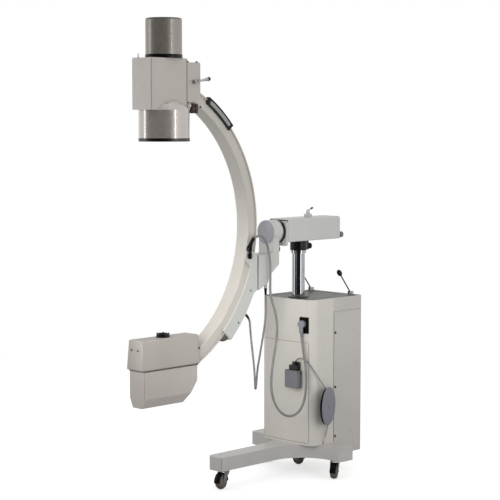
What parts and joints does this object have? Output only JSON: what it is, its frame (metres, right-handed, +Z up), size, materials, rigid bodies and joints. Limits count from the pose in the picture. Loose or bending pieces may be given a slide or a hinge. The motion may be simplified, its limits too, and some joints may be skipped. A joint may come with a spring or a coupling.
{
  "type": "mobile c-arm x-ray",
  "caption": "Mobile X-ray stand: a lifting column and sliding, rotating arm carry a C-shaped profile with an image intensifier above and a tube head below.",
  "frame": {"origin": "on the floor, midway along the machine's length, on the middle plane of column and C", "axes": "+Z up, -X from the column towards the C, -Y towards the side with the foot switch and cable winder"},
  "size_m": [1.352, 0.62, 2.209],
  "materials": {
    "white_enamel": "satin enamel",
    "grey_casting": "painted, satin",
    "moulded_cover": "satin",
    "chrome": "polished",
    "steel": "zinc plated",
    "black_plastic": "satin",
    "black_steel": "satin",
    "slate_plastic": "satin",
    "tread": "matte",
    "cable": "matte",
    "window": "brushed"
  },
  "bodies": {
    "stand": {"base_frame": "white_enamel", "chassis_frame": "white_enamel", "front_shell": "white_enamel", "front_panel": "white_enamel", "top_band": "white_enamel", "side_panels": "white_enamel", "rear_panel": "white_enamel", "deck_plate": "white_enamel", "column_tube": "grey_casting", "lift_drive": "steel", "power_inverter": "steel", "inlet_box": "black_plastic", "inlet_plug": "slate_plastic", "lever_clevises": "steel", "foot_switch_body": "slate_plastic", "winder_disc": "slate_plastic", "winder_drum": "black_plastic", "main_cable": "cable", "switch_cable": "cable"},
    "column": {"inner_column": "chrome"},
    "turret": {"pan_collar": "black_steel", "arm_housing": "grey_casting", "guide_ring": "black_steel"},
    "sliding_arm": {"cross_arm": "steel"},
    "rotor": {"rotor_arm": "grey_casting", "rotor_cap": "slate_plastic", "carriage": "grey_casting", "carriage_rollers": "steel", "cable_connector": "black_plastic", "arm_cable": "cable"},
    "c_arm": {"c_profile": "grey_casting", "grip_pad": "black_plastic", "tube_head_body": "grey_casting", "tube_head_cover": "moulded_cover", "collimator_ring": "black_plastic", "xray_tank": "steel", "ii_can": "grey_casting", "ii_rim": "window", "ii_housing": "grey_casting", "camera_housing": "moulded_cover", "camera_ring": "black_plastic", "ii_bracket": "grey_casting"},
    "pan_knob": {"pan_lock_knob": "black_plastic"},
    "travel_knob": {"travel_lock_knob": "black_plastic"},
    "rotation_knob": {"rotation_lock_knob": "black_plastic"},
    "arm_lock": {"arm_lock_lever": "black_steel"},
    "brake": {"brake_lever": "black_steel"},
    "orbit_lock": {"orbital_lock_lever": "black_steel"},
    "intensifier_lock": {"ii_lock_lever": "black_steel"},
    "near_lever": {"deck_lever_near": "black_plastic"},
    "far_lever": {"deck_lever_far": "black_plastic"},
    "pedal": {"foot_pedal": "steel"},
    "front_swivel": {"front_caster_fork": "steel"},
    "front_wheel": {"front_caster_wheel": "tread"},
    "near_swivel": {"near_caster_fork": "steel"},
    "near_wheel": {"near_caster_wheel": "tread"},
    "far_swivel": {"far_caster_fork": "steel"},
    "far_wheel": {"far_caster_wheel": "tread"},
    "rear_swivel": {"rear_caster_fork": "steel"},
    "rear_wheel": {"rear_caster_wheel": "tread"}
  },
  "joints": [
    {"name": "column_lift", "type": "slide", "parent": "stand", "child": "column", "axis": [0, 0, 1], "range_m": [-0.15, 0.25], "deforming": ["main_cable"]},
    {"name": "arm_pan", "type": "hinge", "parent": "column", "child": "turret", "pos_m": [0.397, 0, 1.13], "axis": [0, 0, 1], "range_deg": [-12.5, 12.5], "deforming": ["main_cable"]},
    {"name": "arm_travel", "type": "slide", "parent": "turret", "child": "sliding_arm", "axis": [-1, 0, 0], "range_m": [0, 0.2], "deforming": ["main_cable"]},
    {"name": "c_rotation", "type": "hinge", "parent": "sliding_arm", "child": "rotor", "pos_m": [0.197, 0, 1.2125], "axis": [1, 0, 0], "range_deg": [-180, 180], "deforming": ["main_cable"]},
    {"name": "c_orbit", "type": "hinge", "parent": "rotor", "child": "c_arm", "pos_m": [-0.6415, 0, 1.2569], "axis": [0, -1, 0], "range_deg": [-48, 12]},
    {"name": "pan_knob_turn", "type": "hinge", "parent": "turret", "child": "pan_knob", "pos_m": [0.472, 0, 1.129], "axis": [1, 0, 0], "range_deg": [-90, 90]},
    {"name": "travel_knob_turn", "type": "hinge", "parent": "turret", "child": "travel_knob", "pos_m": [0.647, -0.045, 1.179], "axis": [1, 0, 0], "range_deg": [-90, 90]},
    {"name": "rotation_knob_turn", "type": "hinge", "parent": "turret", "child": "rotation_knob", "pos_m": [0.251, 0, 1.13], "axis": [0, 0, -1], "range_deg": [-90, 90]},
    {"name": "arm_lock_turn", "type": "hinge", "parent": "turret", "child": "arm_lock", "pos_m": [0.465, 0, 1.29], "axis": [0, 0, 1], "range_deg": [-60, 60]},
    {"name": "brake_lever_turn", "type": "hinge", "parent": "rotor", "child": "brake", "pos_m": [-0.00716, 0, 0.86052], "axis": [0.848, 0, -0.5299], "range_deg": [-30, 30]},
    {"name": "orbit_lock_turn", "type": "hinge", "parent": "rotor", "child": "orbit_lock", "pos_m": [-0.017, -0.058, 1.144], "axis": [0, 1, 0], "range_deg": [-35, 35]},
    {"name": "intensifier_lock_turn", "type": "hinge", "parent": "c_arm", "child": "intensifier_lock", "pos_m": [-0.366, -0.062, 1.925], "axis": [0, 1, 0], "range_deg": [-45, 45]},
    {"name": "near_lever_swing", "type": "hinge", "parent": "stand", "child": "near_lever", "pos_m": [0.65, -0.122, 0.889], "axis": [0, 1, 0], "range_deg": [0, 40]},
    {"name": "far_lever_swing", "type": "hinge", "parent": "stand", "child": "far_lever", "pos_m": [0.65, 0.148, 0.889], "axis": [0, 1, 0], "range_deg": [0, 40]},
    {"name": "pedal_press", "type": "hinge", "parent": "stand", "child": "pedal", "pos_m": [0.2655, -0.079, 0.523], "axis": [0, -1, 0], "range_deg": [0, 6], "stiffness_Nm_per_rad": 4, "springref_deg": -2.86},
    {"name": "front_caster_swivel", "type": "hinge", "parent": "stand", "child": "front_swivel", "pos_m": [-0.118, 0, 0.084], "axis": [0, 0, 1], "continuous": true},
    {"name": "front_wheel_roll", "type": "hinge", "parent": "front_swivel", "child": "front_wheel", "pos_m": [-0.14505, -0.00725, 0.0375], "axis": [-0.2588, 0.9659, 0], "continuous": true},
    {"name": "near_caster_swivel", "type": "hinge", "parent": "stand", "child": "near_swivel", "pos_m": [0.42, -0.23, 0.084], "axis": [0, 0, 1], "continuous": true},
    {"name": "near_wheel_roll", "type": "hinge", "parent": "near_swivel", "child": "near_wheel", "pos_m": [0.396, -0.24442, 0.0375], "axis": [-0.515, 0.8572, 0], "continuous": true},
    {"name": "far_caster_swivel", "type": "hinge", "parent": "stand", "child": "far_swivel", "pos_m": [0.42, 0.23, 0.084], "axis": [0, 0, 1], "continuous": true},
    {"name": "far_wheel_roll", "type": "hinge", "parent": "far_swivel", "child": "far_wheel", "pos_m": [0.44294, 0.24606, 0.0375], "axis": [0.5736, -0.8192, 0], "continuous": true},
    {"name": "rear_caster_swivel", "type": "hinge", "parent": "stand", "child": "rear_swivel", "pos_m": [0.497, 0.072, 0.084], "axis": [0, 0, 1], "continuous": true},
    {"name": "rear_wheel_roll", "type": "hinge", "parent": "rear_swivel", "child": "rear_wheel", "pos_m": [0.50425, 0.09905, 0.0375], "axis": [0.9659, -0.2588, 0], "continuous": true}
  ]
}
